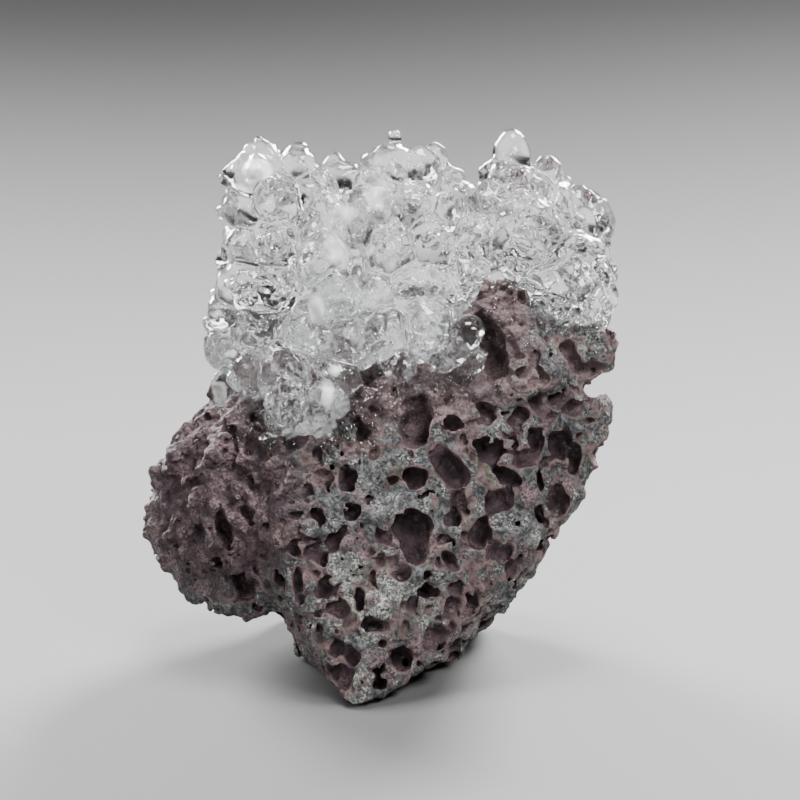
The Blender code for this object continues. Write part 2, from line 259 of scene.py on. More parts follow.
# The lava's chunks, each the hull of its corners.
lavaForm = {
    "fuseCell": 0.9, "roughScale": 3.2, "roughDepth": 0.55,  # mm
    "chunks": {
        "prow": [
            (-2.0, 0.0, 0.0), (-3.2, 2.9, 1.2), (0.2, 1.2, 0.8), (5.0, 4.0, 5.0),
            (9.0, 7.0, 9.0), (12.4, 11.6, 7.0), (15.2, 14.2, 7.4), (16.4, 17.5, 6.5), (9.0, 25.5, 2.0),
            (0.0, 27.0, 1.2), (-8.0, 23.0, 1.8), (-8.6, 13.5, 1.2), (-7.0, 6.5, 4.0),
            (2.0, 10.0, -0.4), (-8.2, 6.75, 23.6), (8.8, 6.2, 21.6), (15.0, 17.0, 23.0),
            (4.0, 24.0, 26.5), (-9.5, 20.0, 25.0), (-2.0, 8.0, 27.2), (4.8, 4.2, 10.0),
        ],
        "leftShoulder": [
            (-19.9, 17.4, 12.2), (-19.9, 14.2, 12.6), (-17.6, 10.6, 12.0), (-14.4, 7.6, 10.8),
            (-9.5, 7.5, 7.5), (-8.0, 14.0, 2.0), (-8.0, 22.5, 3.0), (-12.5, 24.5, 6.0),
            (-16.2, 24.6, 9.2), (-18.4, 20.8, 10.0), (-14.0, 15.0, 5.2), (-18.3, 16.0, 19.0),
            (-13.0, 9.5, 20.0), (-9.0, 9.0, 22.0), (-10.0, 22.0, 24.0), (-15.5, 21.0, 21.5),
        ],
        "rightShoulder": [
            (8.0, 26.5, 2.2), (14.0, 26.6, 4.5), (19.4, 25.8, 8.0), (19.7, 23.4, 8.5),
            (17.0, 19.6, 7.0), (16.0, 15.5, 8.0), (18.0, 25.0, 17.0), (16.2, 17.5, 20.5),
            (8.0, 25.0, 23.0),
        ],
        "ledge": [
            (13.6, 32.0, 5.5), (19.4, 31.4, 6.2), (19.5, 27.8, 7.0), (17.2, 27.6, 6.0),
            (12.6, 27.6, 4.2), (18.2, 30.6, 14.0), (17.2, 27.4, 15.0), (12.0, 31.5, 16.0),
            (11.0, 26.0, 17.0),
        ],
        "ridge": [
            (10.5, 36.3, 5.0), (7.5, 34.0, 4.6), (8.4, 29.0, 3.0), (13.4, 30.6, 3.6),
            (12.6, 34.0, 4.6), (12.4, 25.6, 1.8), (15.4, 27.2, 3.4), (10.0, 34.6, 14.0),
            (14.0, 30.0, 15.0), (7.0, 28.0, 15.0), (7.4, 26.0, 3.0),
        ],
        "mound": [
            (-13.4, 25.0, 9.5), (-11.4, 31.4, 12.6), (-4.0, 33.5, 11.0), (4.0, 31.0, 9.0),
            (8.0, 31.0, 9.0), (-8.0, 25.0, 5.4), (7.0, 27.5, 4.2), (-11.6, 30.0, 20.0),
            (-2.0, 33.0, 20.0), (8.0, 31.0, 20.0), (-12.6, 21.0, 22.0), (10.0, 25.0, 22.0),
            (-14.4, 25.2, 10.0),
        ],
    },
}


def fusedChunks(form):
    bm = bmesh.new()
    for corners in form["chunks"].values():
        hull = bmesh.ops.convex_hull(bm, input=[bm.verts.new(place(*corner)) for corner in corners])
        inside = [v for v in hull["geom_interior"] if isinstance(v, bmesh.types.BMVert)]
        bmesh.ops.delete(bm, geom=inside, context="VERTS")
    mesh = bpy.data.meshes.new("lavaForm")
    bm.to_mesh(mesh)
    bm.free()
    body = meshObject("lavaForm", mesh)
    modified(body, "REMESH", mode="VOXEL", voxel_size=form["fuseCell"] * mm)
    frontFoot = Vector((-middleRight, -middleBehind, 0)) * mm
    normals = [v.normal.copy() for v in body.data.vertices]
    for v, normal in zip(body.data.vertices, normals):
        rough = noise.fractal((v.co - frontFoot) / (form["roughScale"] * mm), 0.8, 2.0, 3)
        v.co += normal * rough * form["roughDepth"] * mm
    return body


# Vesicles and pores as the front view shows them: right, up, half width, half height, lean in degrees.
# Spots are given in the same way, with a share from 0 to 1 in place of the lean.
lava = {
    "cell": 0.18, "far": 1.6, "room": 1.5,  # mm: a cell, the largest distance kept, and room round the piece
    "quickCell": 1.6,
    "most": 196000,  # triangles
    "deep": 0.6,  # a vesicle's half depth against its half width and half height together
    "sink": 0.35,  # share of a vesicle's depth by which its middle lies inside the surface
    "fillet": 0.12, "rim": 0.1,  # mm, where vesicles meet each other and the broken face
    "waves": [(2.6, 0.14)],  # mm across, mm deep
    "lumps": [(1.5, 0.17), (0.75, 0.11), (0.42, 0.06)],
    "lobeLumps": [(2.4, 0.42), (1.2, 0.42), (0.7, 0.28)],  # more of them where "lumpy" says
    "wallLumps": [(0.8, 0.09), (0.42, 0.06)],
    "warp": [(2.4, 0.16), (1.0, 0.10), (0.6, 0.06)],
    "seeds": {"waves": 0, "lumps": 5, "lobeLumps": 10, "warp": 30, "wallLumps": 40},
    # parts without grey broken faces, where the rock is lumpy, and parts with white crystals
    "lumpy": [(-13.0, 17.5, 7.5, 9.0, 1.0), (9.6, 32.0, 3.0, 4.5, 1.0), (0.0, 27.0, 12.0, 3.6, 1.0)],
    "pale": [
        (-0.6, 9.8, 3.6, 4.2, 1.0), (4.6, 8.6, 3.0, 2.2, 1.0), (8.2, 7.6, 2.4, 2.4, 0.9),
        (11.0, 22.8, 1.6, 3.6, 0.8), (8.0, 16.0, 2.0, 1.6, 0.8), (-3.4, 12.6, 2.2, 1.8, 0.8),
        (17.4, 28.8, 1.8, 2.4, 0.7), (-5.6, 6.0, 1.6, 1.6, 0.7), (3.2, 4.0, 2.6, 1.8, 0.8),
        (13.6, 15.0, 1.6, 2.2, 0.6), (-1.6, 2.2, 1.2, 1.8, 0.9),
    ],
    # what the outline lacks: right, up, back, half width, half height, half depth, lean in degrees
    "bites": [
        (17.9, 26.4, 8.0, 1.35, 0.75, 6.0, 5), (19.2, 21.0, 8.0, 1.5, 1.15, 7.0, 0),
        (18.0, 17.2, 8.0, 1.3, 1.1, 7.0, -25), (14.9, 10.9, 9.0, 1.2, 0.8, 7.0, 35),
        (11.9, 7.0, 9.0, 1.0, 0.7, 7.0, 35), (-19.9, 21.0, 12.0, 1.1, 0.9, 6.0, 0),
    ],
    "vesicles": [
        (12.9, 22.2, 0.8, 1.1, -12), (8.9, 21.4, 1.35, 1.15, -20), (14.9, 21.6, 0.95, 1.4, -12),
        (9.5, 17.1, 1.2, 1.3, 0), (10.3, 19.2, 1.35, 0.85, -30), (9.0, 24.3, 0.9, 1.15, 0),
        (14.7, 17.1, 0.95, 1.25, 0), (3.3, 23.4, 1.4, 2.0, 0), (5.6, 19.8, 1.7, 1.15, -48),
        (2.6, 19.2, 1.15, 0.9, 0), (5.7, 15.8, 0.85, 0.85, 0), (2.7, 15.2, 1.6, 1.5, 0),
        (2.8, 13.3, 1.1, 1.3, 0), (16.2, 20.4, 0.65, 1.3, -10), (8.3, 14.6, 0.9, 1.2, 0),
        (10.5, 12.8, 0.85, 0.55, 30), (6.1, 12.4, 0.95, 0.55, -50), (6.1, 10.0, 0.5, 0.85, -28),
        (2.7, 8.8, 0.5, 0.85, 0), (-1.8, 9.2, 0.5, 1.0, 30), (-0.6, 7.4, 1.05, 0.6, 10),
        (4.5, 5.8, 1.1, 0.95, 0), (-3.4, 2.9, 1.1, 1.15, 0), (-2.1, 16.4, 1.0, 0.75, 20),
        (-5.2, 16.2, 0.65, 0.6, 0), (-3.9, 14.1, 0.75, 0.9, -20), (-6.6, 13.3, 0.5, 0.75, 0),
        (-3.6, 8.4, 0.95, 0.6, 0), (-6.7, 10.4, 0.5, 1.0, 0), (-10.8, 10.4, 1.15, 1.55, -10),
        (-13.2, 14.8, 0.65, 1.45, 18), (-10.8, 16.0, 1.15, 0.55, -40), (-13.4, 11.8, 0.9, 0.5, 10),
        (-15.6, 18.4, 1.0, 0.6, 25), (-10.3, 21.4, 0.5, 0.85, 0), (9.3, 30.0, 1.3, 2.9, 22),
        (15.8, 29.0, 0.55, 1.4, 10), (17.1, 27.9, 1.2, 0.55, 0), (12.0, 24.4, 0.8, 0.65, 0),
        (-0.1, 21.0, 0.55, 0.55, 0), (3.0, 25.2, 1.2, 0.9, 0), (13.0, 25.8, 0.6, 1.0, 30),
    ],
    "pores": [
        (14.2, 24.1, 0.4, 0.4, 0), (12.1, 28.0, 0.6, 0.5, 0), (6.5, 26.0, 0.45, 0.45, 0),
        (7.5, 25.3, 0.35, 0.35, 0), (11.4, 23.4, 0.65, 0.65, 0), (16.3, 22.5, 0.35, 0.35, 0),
        (9.3, 13.0, 0.55, 0.75, 0), (5.1, 12.0, 0.25, 0.3, 0), (2.0, 6.8, 0.35, 0.65, 0),
        (-0.2, 5.8, 0.5, 0.45, 0), (3.8, 11.2, 0.7, 0.45, 0), (-0.5, 11.0, 0.4, 0.6, 0),
        (-3.0, 14.8, 0.4, 0.4, 0), (8.6, 8.8, 0.3, 0.45, 0), (0.6, 14.3, 0.5, 0.9, 0),
        (3.8, 8.0, 0.3, 0.5, 0), (13.1, 18.8, 0.45, 0.9, 0), (2.3, 19.3, 0.4, 0.4, 0),
        (-2.8, 16.8, 0.4, 0.4, 0), (-6.7, 16.1, 0.5, 0.35, 0), (-15.0, 18.8, 0.6, 0.5, 0),
        (-18.3, 15.0, 0.3, 0.5, 0), (-15.2, 18.6, 0.3, 0.9, 30), (-12.9, 14.6, 0.4, 1.3, 20),
        (-3.6, 8.4, 0.9, 0.5, 0), (-4.9, 15.8, 0.6, 0.6, 0), (-6.7, 10.4, 0.35, 1.0, 0),
        (-11.7, 23.2, 0.5, 0.5, 0), (-10.1, 21.4, 0.3, 0.8, 0),
    ],
    "before": -20,  # mm back, where the sight lines that find the vesicles start
    "grow": 1.12,  # what the creased surface takes from a vesicle's width is given back
    "scatter": {  # more small ones than large ones by "favour"
        "seed": 5, "tries": 9000, "sizes": (0.22, 1.3), "favour": 2.6, "sinks": (-0.2, 1.1),
        "spacing": 0.8, "lumpyMost": 0.45, "uneven": (0.7, 1.25),
    },
}


# the most that any of the spots gives to points of the front view: right, up, half width, half height, share
def spotShare(spots, right, up, outer=1.2, inner=0.6):
    share = np.zeros(np.broadcast(right, up).shape, np.float32)
    for middle, height, wide, tall, most in spots:
        away = np.sqrt(((right - middle) / wide) ** 2 + ((up - height) / tall) ** 2)
        share = np.maximum(share, most * smoothStep(away, outer, inner))
    return share


def frontView(x, y, z):  # how far right and up a place lies in the front view, in mm
    behind = y / mm + middleBehind
    return x / mm + middleRight, behind * math.sin(sightTilt) + z / mm * math.cos(sightTilt)


def buildLava():
    seeds = lava["seeds"]
    form = fusedChunks(lavaForm)
    cell = lava["cell"] * mm * 1
    room = lava["room"] * mm
    box = coordinates(form.data)
    body = Field(box.min(0) - room, box.max(0) + room, cell, lava["far"] * mm).fromMesh(form.data)
    for index, (width, depth) in enumerate(lava["waves"]):
        body.values += body.waves(width * mm, seeds["waves"] + index) * depth * mm
    for index, (width, depth) in enumerate(lava["lumps"]):
        body.values += body.lumps(width * mm, seeds["lumps"] + index) * depth * mm
    lumpy = spotShare(lava["lumpy"], *frontView(*np.ix_(*body.axes)))
    for index, (width, depth) in enumerate(lava["lobeLumps"]):
        body.values += body.lumps(width * mm, seeds["lobeLumps"] + index) * lumpy * depth * mm
    holes = body.like()
    tree = BVHTree.FromObject(form, bpy.context.evaluated_depsgraph_get())
    made = []
    for right, up, wide, tall, lean in lava["vesicles"] + lava["pores"]:
        hit = tree.ray_cast(place(right, up, lava["before"]), sight)[0]
        if hit is None:
            continue
        wide, tall = wide * lava["grow"], tall * lava["grow"]
        deep = lava["deep"] * (wide + tall)
        turn = sightTurn @ Matrix.Rotation(math.radians(-lean), 3, "Y")
        middle = hit + sight * deep * lava["sink"] * mm
        made.append((middle, deep * mm, (wide * mm, deep * mm, tall * mm), turn))
    made += scatteredVesicles(form.data, made)
    for right, up, back, wide, tall, deep, lean in lava["bites"]:
        turn = sightTurn @ Matrix.Rotation(math.radians(-lean), 3, "Y")
        made.append((place(right, up, back), deep * mm, (wide * mm, deep * mm, tall * mm), turn))
    for middle, _, sizes, turn in made:
        holes.addEllipsoid(middle, sizes, turn, lava["fillet"] * mm)
    holes.warp([(width * mm, reach * mm) for width, reach in lava["warp"]], seeds["warp"])
    print("lava: %d vesicles" % len(made))
    solid = body.like()
    solid.values = smoothMost(body.values, -holes.values, lava["rim"] * mm)
    for index, (width, depth) in enumerate(lava["wallLumps"]):
        solid.values += solid.lumps(width * mm, seeds["wallLumps"] + index) * depth * mm
    ground = body.axes[2]
    solid.values = np.maximum(solid.values, -ground[None, None, :].astype(np.float32))
    piece = thinned(solid.toObject("lava"), lava["most"])
    points = coordinates(piece.data)
    points[:, 2] = np.maximum(points[:, 2], 0)
    setCoordinates(piece.data, points)
    setAttribute(piece.data, "depth", -body.sample(points) / mm)
    setAttribute(piece.data, "rim", holes.sample(points) / mm)
    setAttribute(piece.data, "lumpy", spotShare(lava["lumpy"], *frontView(*points.T)))
    setAttribute(piece.data, "pale", spotShare(lava["pale"], *frontView(*points.T)))
    bpy.data.objects.remove(form)
    return piece, body, solid


def scatteredVesicles(mesh, already):
    rules = lava["scatter"]
    draw = random.Random(rules["seed"])
    faces = list(mesh.polygons)
    weights = [face.area for face in faces]
    taken = [(np.array(middle), reach) for middle, reach, _, _ in already]
    spots = np.array([spot for spot, _ in taken])
    reaches = np.array([reach for _, reach in taken])
    made = []
    for face in draw.choices(faces, weights, k=rules["tries"]):
        small, large = rules["sizes"]
        radius = (small + (large - small) * draw.random() ** rules["favour"]) * mm
        sink = draw.uniform(*rules["sinks"])
        middle = np.array(face.center - face.normal * radius * sink)
        lumpy = spotShare(lava["lumpy"], *frontView(*middle)) > 0.5
        if lumpy and radius > rules["lumpyMost"] * mm:
            continue
        if (np.linalg.norm(spots - middle, axis=1) < rules["spacing"] * (reaches + radius)).any():
            continue
        spots = np.vstack([spots, middle])
        reaches = np.append(reaches, radius)
        angle = draw.uniform(0, math.pi)
        axis = Vector((draw.random(), draw.random(), draw.random() + 0.1))
        turn = Matrix.Rotation(angle, 3, axis)
        sizes = [radius * draw.uniform(*rules["uneven"]) for _ in range(3)]
        made.append((Vector(middle), radius, sizes, turn))
    return made


lavaPiece, lavaBody, lavaSolid = buildLava()
print("lava made:", len(lavaPiece.data.polygons), "triangles")


# The crust's lobes: right, up, back, radius in mm, and how tall against their width.
crust = {
    "cell": 0.17, "far": 0.7, "quickCell": 1.5,  # as for the lava
    "skinCell": 1.5,  # how many times wider the cells of the skin under the beads are
    "most": 196000,  # triangles
    "embed": 0.25,  # mm that the crust reaches into the lava's pitted skin
    "fillet": 0.1, "nubFillet": 0.15,  # mm, where the crust meets the lava and where the nubs stand
    "film": (0.1, -0.35),  # mm from the crust's outside, where the pale film on the lava starts and is whole
    "cores": [
        (-8.6, 35.0, 12.0, 3.6, 2.2), (-3.6, 34.0, 12.0, 4.4, 2.0), (2.6, 35.5, 12.0, 5.4, 1.45),
        (8.0, 36.4, 12.5, 4.4, 1.2), (13.4, 37.0, 12.0, 4.9, 1.3),
    ],
    "left": [
        (-10.3, 44.2, 9.8, 2.35, 1.0), (-11.4, 44.6, 10.4, 1.5, 1.0), (-9.6, 45.6, 10.6, 1.5, 1.0),
        (-6.8, 44.6, 10.2, 1.9, 1.15), (-6.7, 46.0, 10.4, 1.15, 1.2), (-11.3, 41.3, 10.4, 1.7, 1.1),
        (-8.6, 42.0, 8.2, 2.1, 1.0), (-11.1, 38.0, 9.4, 1.75, 1.1), (-8.2, 38.4, 7.2, 2.2, 1.0),
        (-11.4, 34.9, 9.2, 1.7, 1.1), (-12.6, 32.4, 9.6, 1.6, 1.0), (-13.9, 31.5, 10.4, 0.9, 1.0),
        (-12.9, 29.6, 9.4, 1.6, 1.0), (-14.0, 25.8, 10.4, 1.15, 1.3), (-9.0, 34.6, 6.6, 2.2, 1.0),
        (-9.4, 31.0, 6.4, 2.3, 1.0), (-10.6, 27.6, 6.2, 1.8, 1.0), (-8.0, 27.8, 4.4, 2.0, 1.0),
        (-7.4, 25.0, 3.0, 1.9, 1.0), (-4.9, 24.6, 2.2, 2.0, 1.0), (-4.4, 23.0, 1.6, 1.15, 1.0),
        (-5.2, 42.6, 9.0, 1.9, 1.0), (-3.2, 43.8, 9.6, 1.45, 1.1), (-4.2, 40.4, 6.8, 2.2, 1.0),
        (-4.6, 37.0, 5.4, 2.3, 1.1), (-3.6, 33.4, 4.4, 2.4, 1.0), (-6.0, 30.6, 4.4, 2.2, 1.0),
        (-2.6, 30.0, 3.6, 2.2, 1.0), (-3.4, 27.2, 2.6, 2.0, 1.0),
    ],
    "centre": [
        (1.0, 45.1, 10.4, 2.05, 1.1), (-0.5, 43.4, 9.4, 1.7, 1.0), (3.3, 45.0, 10.4, 1.55, 1.1),
        (4.7, 45.8, 10.6, 0.85, 1.4), (5.8, 44.0, 10.6, 1.15, 1.0), (6.9, 42.4, 10.6, 1.25, 1.0),
        (-0.8, 40.6, 7.4, 2.3, 1.0), (2.6, 41.8, 8.0, 2.1, 1.0), (5.2, 41.2, 8.8, 1.9, 1.0),
        (0.9, 37.6, 5.6, 2.4, 1.0), (4.3, 38.0, 6.6, 2.2, 1.0), (-0.7, 34.2, 4.6, 2.3, 1.0),
        (2.7, 34.4, 4.8, 2.3, 1.0), (5.4, 34.8, 5.6, 1.9, 1.0), (0.6, 30.8, 3.8, 2.2, 1.0),
        (3.9, 31.2, 3.6, 2.2, 1.0), (6.9, 31.3, 2.4, 1.6, 1.0), (5.8, 29.6, 2.6, 1.5, 1.0),
        (1.8, 28.6, 3.2, 1.4, 1.0), (8.0, 28.8, 2.6, 0.9, 1.0),
    ],
    "right": [
        (11.2, 45.9, 10.8, 1.75, 1.4), (10.9, 43.6, 10.2, 1.9, 1.2), (10.2, 43.6, 10.4, 1.4, 1.1),
        (13.8, 44.2, 10.8, 1.35, 1.0), (12.4, 43.2, 9.6, 1.9, 1.0), (14.8, 42.2, 10.0, 1.6, 1.0),
        (16.0, 40.3, 10.2, 1.4, 1.0), (10.1, 41.2, 8.4, 2.1, 1.0), (13.4, 40.2, 7.4, 2.3, 1.0),
        (8.4, 38.6, 7.6, 2.1, 1.0), (11.6, 38.0, 6.4, 2.3, 1.0), (16.3, 38.0, 8.4, 2.0, 1.0),
        (19.0, 40.6, 11.2, 1.05, 1.9), (18.5, 38.4, 11.0, 1.15, 1.2), (18.3, 36.2, 10.2, 1.35, 1.1),
        (15.9, 35.0, 6.8, 2.1, 1.0), (13.8, 34.4, 6.4, 1.9, 1.0), (17.9, 33.7, 9.2, 1.35, 1.1),
        (18.4, 32.2, 8.6, 1.0, 1.0), (16.6, 32.6, 7.2, 1.6, 1.0), (7.6, 36.0, 6.2, 1.7, 1.0),
    ],
    "rear": {"seed": 11, "tries": 2500, "sizes": (1.5, 2.4), "spacing": 0.8, "inside": 0.9, "rise": 0.95},
    "beads": [  # laid on in turn, large ones first: mm; patch is how wide their patches are
        {"apart": 1.7, "small": 0.55, "large": 1.15, "sink": 0.35, "flat": 0.9, "detail": 3,
         "patch": 3.0, "bare": 0.42, "seed": 3},
        {"apart": 0.72, "small": 0.20, "large": 0.46, "sink": 0.15, "flat": 0.9, "detail": 3,
         "patch": 2.2, "bare": 0.50, "seed": 4},
    ],
    # the whitest, the clearest and the milky parts of the front
    "white": [
        (-3.8, 32.6, 4.6, 5.6, 0.85), (-2.9, 40.2, 2.4, 3.6, 0.9), (1.8, 34.0, 5.0, 5.2, 0.8),
        (1.8, 43.8, 4.4, 3.2, 0.75), (8.6, 41.0, 4.2, 3.6, 0.7), (14.0, 41.2, 4.4, 4.4, 0.45),
        (16.8, 33.0, 3.0, 2.6, 0.6), (-6.4, 25.8, 4.4, 3.6, 1.05), (-12.0, 33.6, 2.8, 5.0, 0.5),
        (-7.8, 44.8, 3.4, 2.0, 0.5), (10.8, 36.0, 3.0, 2.4, 0.5), (2.5, 29.5, 6.5, 2.6, 0.9),
        (-11.8, 28.6, 3.0, 4.6, 0.8),
    ],
    "clear": [
        (-10.5, 41.8, 1.7, 1.6, 1.0), (-7.7, 43.0, 1.3, 1.3, 1.0), (-6.2, 40.1, 0.7, 1.1, 1.0),
        (16.1, 36.4, 1.4, 1.8, 1.0), (18.9, 40.6, 0.8, 1.9, 0.9), (1.2, 29.0, 1.3, 1.3, 0.9),
        (6.9, 31.1, 1.7, 1.7, 0.3), (-3.2, 39.8, 0.7, 0.6, 0.9), (-9.2, 35.0, 1.9, 1.5, 0.6),
        (-10.1, 32.0, 1.0, 2.0, 0.7), (-11.6, 28.9, 1.2, 1.1, 0.7), (9.8, 44.0, 1.2, 0.9, 0.7),
    ],
    "plain": 0.16,  # the share of white elsewhere
    "milk": [(-10.1, 44.6, 1.4, 1.0, 1.2)],
    # white frosted streaks on the front alone, painted highlights
    "highlightStreaks": [
        (-3.6, 37.9, 1.3, 1.8, 0.7), (-0.2, 42.7, 1.2, 2.2, 0.6), (-2.7, 40.9, 1.4, 0.9, 0.75),
        (-5.1, 33.1, 0.75, 1.3, 0.9), (-0.9, 37.9, 0.9, 0.6, 0.7), (-4.2, 26.0, 0.6, 1.5, 0.9),
        (0.6, 34.1, 0.5, 0.9, 0.7), (-3.7, 27.9, 0.7, 0.6, 0.7), (1.1, 36.6, 0.5, 0.5, 0.7),
        (11.6, 41.6, 0.8, 0.5, 0.5),
    ],
    # smooth parts without beads
    "smooth": [
        (1.3, 46.6, 1.8, 2.0, 1), (11.0, 46.6, 2.2, 2.4, 1), (18.7, 41.0, 1.5, 2.2, 1),
        (-6.8, 46.2, 1.4, 1.6, 1), (-10.5, 41.8, 2.0, 2.0, 1), (-1.4, 35.6, 2.4, 4.0, 1),
        (7.2, 31.4, 1.6, 1.6, 1), (9.3, 38.6, 2.0, 2.0, 1),
    ],
    "nubs": [(1.4, 46.7, 10.4, 0.52, 1.5), (1.33, 47.45, 10.4, 0.58, 1.0)],
    "warp": [(2.6, 0.22), (1.2, 0.09)],  # mm across, mm of reach
    "ripples": [(1.5, 0.05), (0.75, 0.03)],  # mm across, mm deep
    "seeds": {"warp": 60, "ripples": 20},
    "facing": (0, 0.4),  # how far the surface turns to the front where the painted highlight streaks start and are whole
}


def insideCore(point, core):
    right, up, back, radius, tall = core
    away = point - Vector((right, up, back))
    return Vector((away.x, away.y / tall, away.z)).length < crust["rear"]["inside"] * radius


def rearLobes():  # over the back of the cores, side by side as those of the front are
    rules = crust["rear"]
    draw = random.Random(rules["seed"])
    found = []
    for _ in range(rules["tries"]):
        right, up, back, radius, tall = draw.choice(crust["cores"])
        around = draw.uniform(-0.5 * math.pi, 0.5 * math.pi)
        rise = draw.uniform(-rules["rise"], rules["rise"])
        out = math.sqrt(1 - rise * rise) * radius
        size = draw.uniform(*rules["sizes"])
        side, deep = math.sin(around) * out, math.cos(around) * out
        middle = Vector((right + side, up + rise * radius * tall, back + deep))
        if any(insideCore(middle, core) for core in crust["cores"]):
            continue
        near = [(middle - Vector(other[:3])).length < rules["spacing"] * (size + other[3]) for other in found]
        if any(near):
            continue
        found.append((*middle, size, 1.0))
    return found


# Geometry Nodes trees are built from a list of named inputs and a function that wires the nodes.
class NodeTree:
    def __init__(self, name, inputs):
        self.tree = bpy.data.node_groups.new(name, "GeometryNodeTree")
        sockets = self.tree.interface
        for title, kind in [("Geometry", "Geometry")] + inputs:
            sockets.new_socket(title, in_out="INPUT", socket_type="NodeSocket" + kind)
        sockets.new_socket("Geometry", in_out="OUTPUT", socket_type="NodeSocketGeometry")
        self.entry = self.node("NodeGroupInput", {}, {})
        self.exit = self.node("NodeGroupOutput", {}, {})

    def input(self, title):
        return self.entry[title]

    # one node: its settings first, then the values or links of its sockets; gives back its outputs
    def node(self, kind, settings, sockets):
        made = self.tree.nodes.new(kind)
        for name, value in settings.items():
            setattr(made, name, value)
        for name, value in sockets.items():
            if isinstance(value, bpy.types.NodeSocket):
                self.tree.links.new(value, made.inputs[name])
            else:
                made.inputs[name].default_value = value
        return made.outputs if len(made.outputs) else made.inputs

    def math(self, operation, *values):
        return self.node("ShaderNodeMath", {"operation": operation}, dict(enumerate(values)))[0]

    def attribute(self, name, kind):
        return self.node("GeometryNodeInputNamedAttribute", {"data_type": kind}, {"Name": name})["Attribute"]

    def end(self, instances):  # realized instances in the piece's own material
        real = self.node("GeometryNodeRealizeInstances", {}, {"Geometry": instances})[0]
        done = self.node("GeometryNodeSetMaterial", {}, {
            "Geometry": real, "Material": self.input("Material")})[0]
        self.tree.links.new(done, self.exit[0])

    def run(self, obj, values):
        modifier = obj.modifiers.new(self.tree.name, "NODES")
        modifier.node_group = self.tree
        for item in self.tree.interface.items_tree:
            if item.in_out == "INPUT" and item.name in values:
                modifier[item.identifier] = values[item.name]
        return settled(obj)


def lobeTree():
    t = NodeTree("lobes", [("Material", "Material"), ("Detail", "Int")])
    ball = t.node("GeometryNodeMeshIcoSphere", {}, {"Radius": 1.0, "Subdivisions": t.input("Detail")})[0]
    t.end(t.node("GeometryNodeInstanceOnPoints", {}, {
        "Points": t.input("Geometry"), "Instance": ball,
        "Rotation": t.attribute("turn", "FLOAT_VECTOR"), "Scale": t.attribute("size", "FLOAT_VECTOR")})[0])
    return t


# balls strewn over a surface in patches, sunk into it by a share of their size
def beadTree():
    t = NodeTree("beads", [
        ("Material", "Material"), ("Apart", "Float"), ("Small", "Float"), ("Large", "Float"),
        ("Sink", "Float"), ("Flat", "Float"), ("Detail", "Int"), ("Patch", "Float"), ("Bare", "Float"),
        ("Seed", "Int")])
    patches = t.node("ShaderNodeTexNoise", {}, {
        "Vector": t.node("GeometryNodeInputPosition", {}, {})[0],
        "Scale": t.math("DIVIDE", 1.0, t.input("Patch")), "Detail": 2.0})[0]
    over = t.math("SUBTRACT", patches, t.input("Bare"))
    steep = 12.0  # how soon a patch is full, going in from its edge
    chance = t.node("ShaderNodeMath", {"operation": "MULTIPLY", "use_clamp": True}, {0: over, 1: steep})[0]
    chance = t.math("MULTIPLY", chance, t.attribute("chance", "FLOAT"))
    most = 1e9  # balls on a square metre, so many that "Apart" alone holds them back
    spread = t.node("GeometryNodeDistributePointsOnFaces", {"distribute_method": "POISSON"}, {
        "Mesh": t.input("Geometry"), "Distance Min": t.input("Apart"), "Density Max": most,
        "Density Factor": chance, "Seed": t.input("Seed")})
    size = t.node("FunctionNodeRandomValue", {"data_type": "FLOAT"}, {
        2: t.input("Small"), 3: t.input("Large"), "Seed": t.input("Seed")})[1]
    down = t.math("MULTIPLY", t.math("MULTIPLY", size, t.input("Sink")), -1.0)
    inward = t.node("ShaderNodeVectorMath", {"operation": "SCALE"}, {0: spread["Normal"], "Scale": down})[0]
    points = t.node("GeometryNodeSetPosition", {}, {"Geometry": spread["Points"], "Offset": inward})[0]
    shape = t.node("ShaderNodeCombineXYZ", {}, {
        "X": size, "Y": size, "Z": t.math("MULTIPLY", size, t.input("Flat"))})[0]
    ball = t.node("GeometryNodeMeshIcoSphere", {}, {"Radius": 1.0, "Subdivisions": t.input("Detail")})[0]
    t.end(t.node("GeometryNodeInstanceOnPoints", {}, {
        "Points": points, "Instance": ball, "Rotation": spread["Rotation"], "Scale": shape})[0])
    return t


# the beads that a dictionary of values describes, over the object that carries the attribute "chance"
def strewn(obj, glass, beads):
    values = {"Material": glass}
    for name, value in beads.items():
        if name in ("apart", "small", "large", "patch"):
            value = value * mm
        values[name.capitalize()] = value
    return beadTree().run(obj, values)


def joinedMesh(name, objects):
    bm = bmesh.new()
    for obj in objects:
        bm.from_mesh(obj.data)
        bpy.data.objects.remove(obj)
    mesh = bpy.data.meshes.new(name)
    bm.to_mesh(mesh)
    bm.free()
    return meshObject(name, mesh)


def lobePoints():
    lobes = crust["cores"] + crust["left"] + crust["centre"] + crust["right"] + rearLobes()
    mesh = bpy.data.meshes.new("lobePoints")
    mesh.from_pydata([place(*lobe[:3]) for lobe in lobes], [], [])
    turns, sizes = [], []
    for index, (_, _, _, radius, tall) in enumerate(lobes):
        turns.append((sightTurn @ Matrix.Rotation(index * 2.4, 3, "Z")).to_euler("XYZ"))
        sizes.append((radius * mm, radius * mm, radius * tall * mm))
    for name, rows in (("turn", turns), ("size", sizes)):
        made = mesh.attributes.new(name, "FLOAT_VECTOR", "POINT")
        made.data.foreach_set("vector", np.array(rows, np.float32).ravel())
    return meshObject("crust", mesh)


def whiteShare(right, up):
    white = np.maximum(crust["plain"], spotShare(crust["white"], right, up))
    return white * (1 - spotShare(crust["clear"], right, up))


